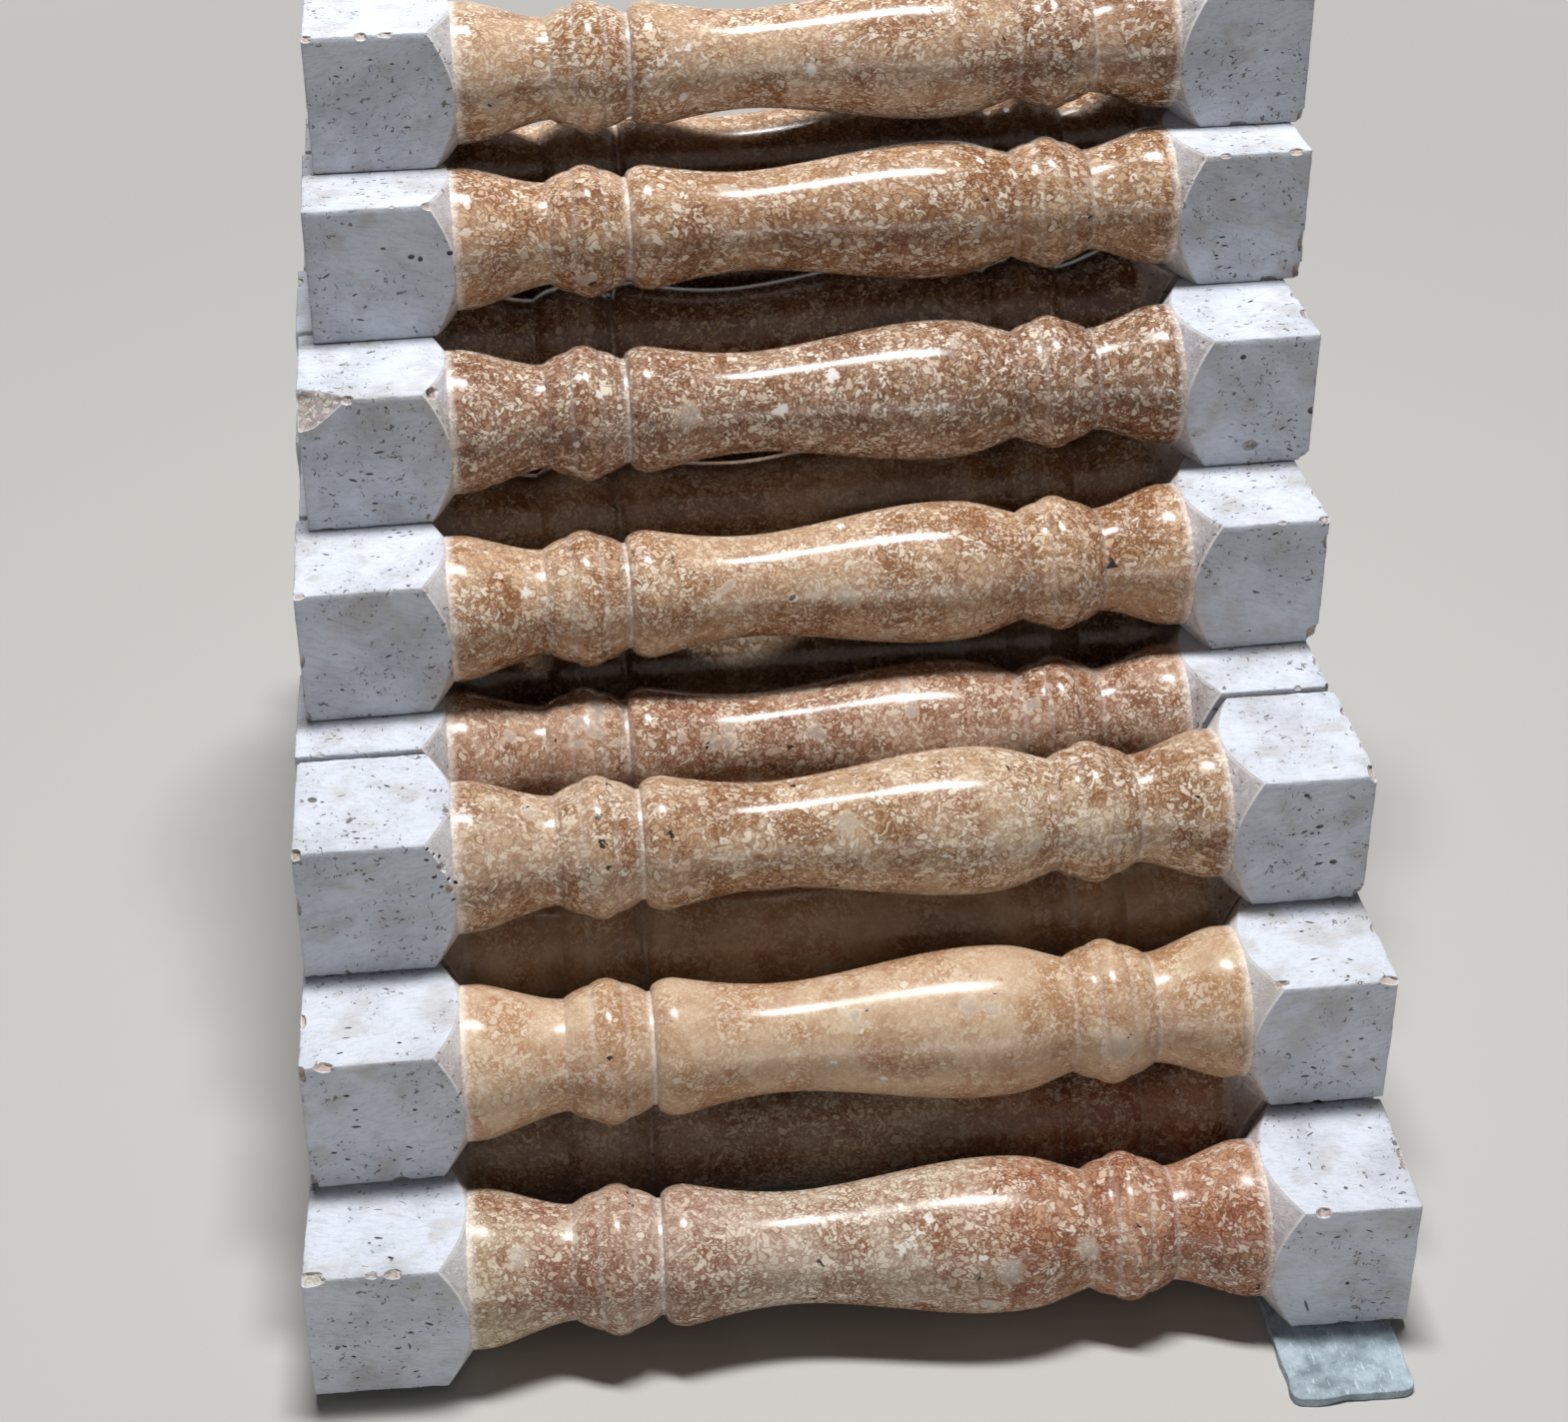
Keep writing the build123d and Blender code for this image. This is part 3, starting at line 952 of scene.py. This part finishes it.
# %% Chips that can be seen
chips = {
    (1, 1): [((3, -50, 50), (14, 7, 6)), ((19, -50, 51), (10, 4, 3)), ((43, -50, 51), (5, 4, 4)),
             ((56, -50, 51), (7, 5, 5)), ((84, -40, 52), (4, 3, 3)), ((683, -50, -51), (7, 4, 3.5)),
             ((698, -48, -48), (5, 6, 9)), ((618, -50, -51), (6, 3, 3)), ((700, -10, 50), (4, 12, 3))],
    (2, 1): [((694, -50, 50), (9, 5, 4)), ((622, -44, 51), (8, 2.5, 5)), ((2, -49, -46), (3, 5, 9)),
             ((1, -50, 46), (4, 4, 8))],
    (3, 1): [((2, -50, 49), (5, 6, 5)), ((698, -50, -48), (6, 6, 8)), ((698, -46, 49), (4, 9, 5)),
             ((95, -49, 31), (4, 3, 4)), ((97, -51, 14), (3, 3, 5)), ((0, -50, 10), (3, 4, 9))],
    (4, 1): [((698, -49, -46), (7, 7, 11)), ((3, -50, 51), (6, 5, 4)), ((697, -50, 50), (6, 4, 4))],
    (5, 1): [((94, -43, 46), (9, 7, 5)), ((10, -50, -51), (9, 4, 3)), ((-1, -50, -40), (4, 5, 10)),
             ((103, -44, 31), (3, 4, 4)), ((699, -20, 50), (5, 9, 4)), ((656, -51, -34), (7, 3, 5)),
             ((698, -49, -48), (6, 6, 5))],
    (6, 1): [((699, -50, -20), (4, 5, 9)), ((699, -49, -44), (6, 6, 8)), ((88, -50, 49), (8, 4, 4))],
    (7, 1): [((2, -50, 50), (6, 4, 4)), ((699, -48, -47), (5, 5, 8))],
}
flakes = {(5, 1): [((-28, -66, 70), (74, 42, 53))]}
print(sum(len(blows) for blows in chips.values()), "chips and", len(flakes), "broken corner")

# %% Pits and slots that can be seen
pits = {
    (1, 1): [((59, -50, 50), (2, 3, 2)), ((54, -50, -13), (4, 1.2, 0.9)), ((62, -50, -12), (0.9, 1.2, 3)),
             ((657, -50, -13), (1.6, 2, 1.6)), ((632, -50, -31), (0.9, 1.5, 6)), ((697, 7, 50), (2, 3, 1.5)),
             ((697, -14, 50), (2, 4, 1.8)), ((655, -30, 50), (1.5, 1.5, 1.5))],
    (2, 1): [((651, 5, 50), (6, 1, 1.2)), ((652, -23, 50), (7, 0.9, 1)), ((107, -42, -8), (2, 2.5, 1.5))],
    (3, 1): [((85, -49, 46), (1.5, 2, 1.3)), ((89, -49, 41), (1.6, 2, 1.4)), ((92, -46, 37), (1.5, 2, 1.5)),
             ((91, -50, 32), (1.4, 2, 1.2)), ((95, -49, 28), (1.8, 2, 1.5)), ((97, -49, 21), (1.7, 2, 1.6)),
             ((84, -50, 38), (1.7, 2, 1.1)), ((88, -50, 24), (1.8, 2, 1.2)), ((98, -50, 13), (2, 2, 1.2)),
             ((99, -50, 5), (1.6, 2, 1.2)), ((92, -50, 16), (1.5, 2, 1)), ((101, -47, 16), (1.6, 2, 1.4)),
             ((12, 6, 50), (3.5, 3, 2)), ((18, 3, 50), (2.5, 1, 1)), ((36, -19, 50), (2, 3.5, 1.5)),
             ((653, -50, 38), (2, 2, 1.5)), ((664, -50, 12), (3, 2, 1.5)), ((676, -50, -18), (3, 2, 2))],
    (5, 1): [((44, -50, -8), (4.5, 1.5, 0.9)), ((52, -50, 8), (4, 1.5, 0.9)), ((33, -50, -12), (3, 1.5, 1)),
             ((645, -50, 36), (2.2, 2.5, 2)), ((698, -50, -10), (3, 3, 3))],
    (6, 1): [((71, -50, 12), (2.5, 2, 1.8)), ((77, -50, 10), (1.8, 2, 2.2)), ((97, -49, 13), (2.5, 2.5, 2))],
}


# %% [markdown]
# Everything else is left to chance, with a seed for each baluster. A chip sits on an arris: half of them on
# one that runs along a block, half on one round its end. The Boolean fails where two balls of one cut run
# into each other, so a blow that would meet an earlier one is left out.

# %% Random chips
chips_on_outer = 16
chips_on_inner = 6
chip_zones = (0, 78, 70)
smallest_chip, largest_chip = 1.5, 5.0
long_chip = 1.6


def along_a_block(rng, margin, top_reach, base_reach):
    """A place along one of the two blocks, clear of its end by the margin."""
    on_top_block = rng.uniform(margin, top_reach)
    on_base_block = rng.uniform(baluster_length - base_reach, baluster_length - margin)
    return rng.choice((on_top_block, on_base_block))


def random_chips(rng, count):
    """Small chips anywhere along the arrises of the blocks."""
    half = block_side / 2
    found = []
    for _ in range(count):
        y, z = rng.choice((-half, half)), rng.choice((-half, half))
        size = rng.uniform(smallest_chip, largest_chip)
        if rng.random() < 0.5:
            x = along_a_block(rng, *chip_zones)
            radii = (size * rng.uniform(1, 2), size, size)
        else:
            x = rng.choice((0.0, baluster_length))
            along_y = rng.random() < 0.5
            y, z = (rng.uniform(-half, half), z) if along_y else (y, rng.uniform(-half, half))
            radii = (size, size * (long_chip if along_y else 1), size * (1 if along_y else long_chip))
        found.append(((x, y, z), radii))
    return found


def apart(blows):
    """Leaves out what would run into a blow before it."""
    kept = []
    for place, radii in blows:
        if all((Vector(place) - Vector(p)).length > max(radii) + max(r) for p, r in kept):
            kept.append((place, radii))
    return kept


# %% [markdown]
# Travertine's slots lie along the bed, in clusters. On the sawn faces the larger ones are cut in earnest, and
# the smaller ones are left to the material.

# %% Random slots
slots_on_outer = 130
slots_on_inner = 14
slot_margin = 8
slot_zones = (slot_margin, 74, 64)
# The chance that a slot starts a new cluster, and how far apart the slots of a cluster lie
new_cluster = 0.45
cluster_length, cluster_width = 2.5, 4


def random_slots(rng, count):
    """Slots on all four sides of both blocks and on their ends."""
    half = block_side / 2
    found = []
    for _ in range(count):
        if not found or rng.random() < new_cluster:
            x = along_a_block(rng, *slot_zones)
            side, across = rng.randrange(5), rng.uniform(-half + slot_margin, half - slot_margin)
        x += rng.gauss(0, cluster_length)
        across = max(-half + 3, min(half - 3, across + rng.gauss(0, cluster_width)))
        length, width, deep = rng.uniform(0.8, 3.6), rng.uniform(0.4, 1.0), rng.uniform(0.8, 2.2)
        if side < 2:
            found.append(((x, half * (2 * side - 1), across), (length, deep, width)))
        elif side < 4:
            found.append(((x, across, half * (2 * side - 5)), (length, width, deep)))
        else:
            end = rng.choice((0.0, baluster_length))
            found.append(((end, across, rng.uniform(-half + 4, half - 4)), (deep, length, width)))
    return found


# %% [markdown]
# ## Laying the stack
# Each piece is a copy of a blank: worn, chipped, then moved in its mesh to the middle of the CAD baluster's
# box and turned by the skew of its course, in degrees. The CAD baluster is then hidden, and the copy stands
# for it. Before that, the places of the vertices in the billet and in the quarry are written on the mesh,
# because the material could not tell them from the finished place.

# %% Courses, and attributes for the material
course_skew = {1: -2.0, 2: -0.3, 3: -0.4, 4: 0.9, 5: 0.8, 6: 1.2, 7: 0.2}
lying = [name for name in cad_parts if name.startswith("course_")]
course_count = {course: sum(name.startswith(f"course_{course}_") for name in lying) for course in course_skew}
print("Balusters in each course:", course_count)


def attribute(piece, name, kind, values):
    """Writes one value for each vertex: a number, or a vector's three numbers in a row."""
    made = piece.data.attributes.new(name, kind, "POINT")
    made.data.foreach_set("value" if kind == "FLOAT" else "vector", values)


def marked(piece, rng, sound, chipped):
    """Writes where each vertex lies in the billet and the quarry, and how deep under two older surfaces."""
    places = [vertex.co.copy() for vertex in piece.data.vertices]
    slant = Matrix.Rotation(rng.uniform(-0.3, 0.3), 4, "Z")
    turn = Matrix.Rotation(rng.uniform(0, 6.28), 4, "X")
    to_quarry = Matrix.Translation([rng.uniform(2, 9) for _ in range(3)]) @ (slant @ turn)
    attribute(piece, "billet", "FLOAT_VECTOR", [c for place in places for c in place])
    attribute(piece, "quarry", "FLOAT_VECTOR", [c for place in places for c in to_quarry @ place])
    attribute(piece, "depth", "FLOAT", [sound.find_nearest(place)[3] / mm for place in places])
    attribute(piece, "hollow", "FLOAT", [chipped.find_nearest(place)[3] / mm for place in places])


def surface_of(piece):
    """The piece's surface now, to measure depths from later."""
    return BVHTree.FromObject(piece, bpy.context.evaluated_depsgraph_get())


# %% Lay every baluster
def laid(piece, node_name, course):
    """Puts a piece where the CAD baluster of its name lies, and lets it stand for it."""
    low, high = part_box(node_name)
    to_place = (
        Matrix.Translation((low + high) / 2)
        @ Matrix.Rotation(math.radians(course_skew[course]), 4, "Z")
        @ Matrix.Translation((-baluster_length / 2 * mm, 0, 0))
    )
    piece.data.transform(to_place)
    only(piece)
    bpy.ops.object.shade_smooth_by_angle(angle=math.radians(32))
    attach(piece, "root")
    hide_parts(node_name)


sound_fine = surface_of(fine_blank)
sound_plain = surface_of(plain_blank)
triangles = 0
for course, count in course_count.items():
    for place in range(1, count + 1):
        rng = random.Random(course * 100 + place)
        outer = place == 1 or place == count or (course == 3 and place == 2)
        piece = copied(fine_blank if outer else plain_blank, f"turned_{course}_{place}")
        crumbled(piece, rng)
        cut(piece, flake_tool, flakes.get((course, place)), rng, swing=0.0)
        chip_count = chips_on_outer if outer else chips_on_inner
        blows = chips.get((course, place), []) + random_chips(rng, chip_count)
        cut(piece, chip_tool, apart(blows), rng, swing=0.2)
        chipped = surface_of(piece)
        slot_count = slots_on_outer if outer else slots_on_inner
        holes = pits.get((course, place), []) + random_slots(rng, slot_count)
        cut(piece, pit_tool, apart(holes), rng, swing=0.6)
        marked(piece, rng, sound_fine if outer else sound_plain, chipped)
        stone = f"{course}_front" if place == 1 else str(course)
        if (course, place) == (3, 2):
            stone = "3_behind_front"
        # A Boolean leaves an empty material slot
        piece.data.materials.clear()
        piece.data.materials.append(stones[stone])
        laid(piece, f"course_{course}_baluster_{place}", course)
        triangles += sum(len(face.vertices) - 2 for face in piece.data.polygons)
removed(fine_blank, plain_blank, flake_tool, chip_tool, pit_tool)
print("Balusters have", triangles, "triangles")

# %% [markdown]
# ## The packer strips
# The strips are offcuts of blue-grey slate, split by hand: flat on top, with ragged sides and knocked
# corners. Cleft slate is matt, with a low sheen on its high places, soft blotches of grey, and fine
# scratches rubbed along the strip.

# %% Slate
slate_blotch = 18 * mm
slate_scratch = 1.4 * mm
slate_tones = [(0.34, "#6E7C83"), (0.48, "#8D9CA5"), (0.62, "#A4B3BC")]
slate_rubbed = linear("#DCE3E6")


def split_slate(name):
    """Blotches and scratches from two noises, which roughen the skin too."""
    material = bpy.data.materials.new(name)
    material.use_nodes = True
    tree = material.node_tree
    shader = tree.nodes["Principled BSDF"]
    add = partial(node, tree)
    place = add("TexCoord").outputs["Object"]
    blotch = add("TexNoise", {"Vector": place, "Scale": 1 / slate_blotch, "Detail": 5.0, "Roughness": 0.65})
    tone = add("ValToRGB", {0: blotch}, ramp=[(share, linear(colour)) for share, colour in slate_tones])
    drawn = add("VectorMath", {0: place, 1: (1.0, 0.22, 1.0)}, **times)
    scratch = add("TexNoise", {"Vector": drawn, "Scale": 1 / slate_scratch, "Detail": 3.0, "Distortion": 0.6})
    rubbed = add("MapRange", {0: scratch, 1: 0.60, 2: 0.68, 4: 0.45}, **smooth)
    colour = add("Mix", {0: rubbed, 6: tone, 7: slate_rubbed}, **mixed)
    tree.links.new(colour.outputs[2], shader.inputs["Base Color"])
    sheen = add("MapRange", {0: blotch, 1: 0.3, 2: 0.7, 3: 0.75, 4: 0.55})
    tree.links.new(sheen.outputs[0], shader.inputs["Roughness"])
    rough = add("Math", {0: scratch, 1: blotch}, operation="ADD")
    bump = add("Bump", {"Height": rough, "Distance": 1.0 * mm, "Strength": 0.5})
    tree.links.new(bump.outputs[0], shader.inputs["Normal"])
    return material


slate = split_slate("split_slate")

# %% [markdown]
# A strip is a plane with its corners bevelled, extruded to its thickness and cut into a grid by planes. Then
# each side is pushed in by a Displace modifier that reads a cloud texture, so the strip stays inside the CAD
# strip's box. Subdividing would give long thin faces.

# %% Split the strips
strip_grid = 6.0 * mm
strip_corner = 9.0 * mm
strip_ragged = 5.0 * mm
side_reach = 1.5 * strip_grid
side_texture = bpy.data.textures.new("split_side", "CLOUDS")
side_texture.noise_scale = 14 * mm
side_texture.noise_depth = 3


def split_strip(name, node_name):
    """A ragged strip that stands for the CAD strip of that name."""
    low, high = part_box(node_name)
    bpy.ops.mesh.primitive_plane_add(size=1)
    piece = bpy.context.active_object
    piece.name = name
    piece.scale = high - low
    piece.location = ((low.x + high.x) / 2, (low.y + high.y) / 2, low.z)
    bpy.ops.object.transform_apply(location=True, rotation=False, scale=True)
    bpy.ops.object.mode_set(mode="EDIT")
    bpy.ops.mesh.bevel(offset=strip_corner, segments=3, affect="VERTICES")
    bpy.ops.mesh.select_all(action="SELECT")
    bpy.ops.mesh.extrude_region_move(TRANSFORM_OT_translate={"value": (0, 0, high.z - low.z)})
    bpy.ops.mesh.select_all(action="SELECT")
    bpy.ops.mesh.normals_make_consistent(inside=False)
    for axis in ((1, 0, 0), (0, 1, 0)):
        start, end = low.dot(Vector(axis)), high.dot(Vector(axis))
        for i in range(1, round((end - start) / strip_grid)):
            bpy.ops.mesh.select_all(action="SELECT")
            bpy.ops.mesh.bisect(plane_co=Vector(axis) * (start + i * strip_grid), plane_no=axis)
    bpy.ops.mesh.select_all(action="SELECT")
    bpy.ops.mesh.bisect(plane_co=(low + high) / 2, plane_no=(0, 0, 1))
    bpy.ops.object.mode_set(mode="OBJECT")
    for axis, letter in enumerate("XY"):
        for limit, inward in ((low[axis], 1), (high[axis], -1)):
            group = piece.vertex_groups.new(name="side")
            for vertex in piece.data.vertices:
                nearness = 1 - abs(vertex.co[axis] - limit) / side_reach
                if nearness > 0:
                    group.add([vertex.index], nearness, "REPLACE")
            applied(piece, "DISPLACE", texture=side_texture, texture_coords="LOCAL", vertex_group="side",
                    direction=letter, strength=inward * strip_ragged, mid_level=0.0)
            piece.vertex_groups.clear()
    applied(piece, "BEVEL", width=0.4 * mm, segments=1, limit_method="ANGLE", angle_limit=math.radians(50))
    bpy.ops.object.shade_smooth_by_angle(angle=math.radians(35))
    piece.data.materials.append(slate)
    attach(piece, "root")
    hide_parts(node_name)
    return piece


for node_name in [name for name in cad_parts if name.startswith("packer")]:
    strip = split_strip("slate_" + node_name.removeprefix("packer_"), node_name)
    print(strip.name, len(strip.data.polygons), "faces")

# %% [markdown]
# ## Studio
# A pale floor and two soft lamps. A long narrow lamp overhead draws the streak along the polished shafts, and
# a broad dim one in front opens the shadows. Lamplight fades with distance, so the far floor and the world
# glow in one pale colour, for the camera and in reflections alone. That hides the horizon from every side,
# and near the stack the floor keeps its shadow.

# %% Floor
backdrop = linear("#E6E5E2")
backdrop_strength = 0.85
floor_grey = linear("#B2B0AC")
glow_starts, glow_is_full = 0.5, 4.0


def backdrop_rays(tree):
    """1 for the rays that show the backdrop: of the camera, of a reflection or through glass; else 0."""
    rays = node(tree, "LightPath").outputs
    seen = node(tree, "Math", {0: rays["Is Camera Ray"], 1: rays["Is Glossy Ray"]}, operation="MAXIMUM")
    return node(tree, "Math", {0: seen, 1: rays["Is Transmission Ray"]}, operation="MAXIMUM")


bpy.ops.mesh.primitive_plane_add(size=60)
floor = bpy.context.active_object
floor.name = "floor"
paint = bpy.data.materials.new("floor_paint")
paint.use_nodes = True
painted = paint.node_tree.nodes["Principled BSDF"]
painted.inputs["Base Color"].default_value = floor_grey
painted.inputs["Roughness"].default_value = 0.7
add = partial(node, paint.node_tree)
away = add("VectorMath", {0: add("TexCoord").outputs["Object"]}, operation="LENGTH").outputs["Value"]
far = add("MapRange", {0: away, 1: glow_starts, 2: glow_is_full}, **smooth)
far = add("Math", {0: far, 1: backdrop_rays(paint.node_tree)}, **times)
glow = add("Emission", {"Color": backdrop, "Strength": backdrop_strength})
surface = add("MixShader", {0: far, 1: painted, 2: glow})
paint.node_tree.links.new(surface.outputs[0], paint.node_tree.nodes["Material Output"].inputs["Surface"])
floor.data.materials.append(paint)
print("The floor glows fully from", glow_is_full, "m")

# %% Lamps
stack_middle = (0, 0, 0.3)


def lamp(name, place, size, power):
    """A soft rectangular lamp that points at the middle of the stack."""
    data = bpy.data.lights.new(name, "AREA")
    data.shape = "RECTANGLE"
    data.size, data.size_y = size
    data.energy = power
    made = bpy.data.objects.new(name, data)
    bpy.context.collection.objects.link(made)
    made.location = place
    made.rotation_euler = (Vector(stack_middle) - Vector(place)).to_track_quat("-Z", "Y").to_euler()
    made.visible_camera = False
    print("Lamp", name, power, "W")


lamp("overhead", (0.1, 0.3, 4.6), size=(1.5, 0.55), power=278)
lamp("front", (-0.5, -5.0, 0.5), size=(4.5, 0.9), power=48)

# %% World
world_light = 0.04
world = bpy.data.worlds.new("studio")
world.use_nodes = True
sky = world.node_tree.nodes["Background"]
sky.inputs["Color"].default_value = backdrop
rays = backdrop_rays(world.node_tree)
strength = node(world.node_tree, "MapRange", {0: rays, 3: world_light, 4: backdrop_strength})
world.node_tree.links.new(strength.outputs[0], sky.inputs["Strength"])
bpy.context.scene.world = world
print("World lights the stack with", world_light, "and shows as", backdrop_strength)
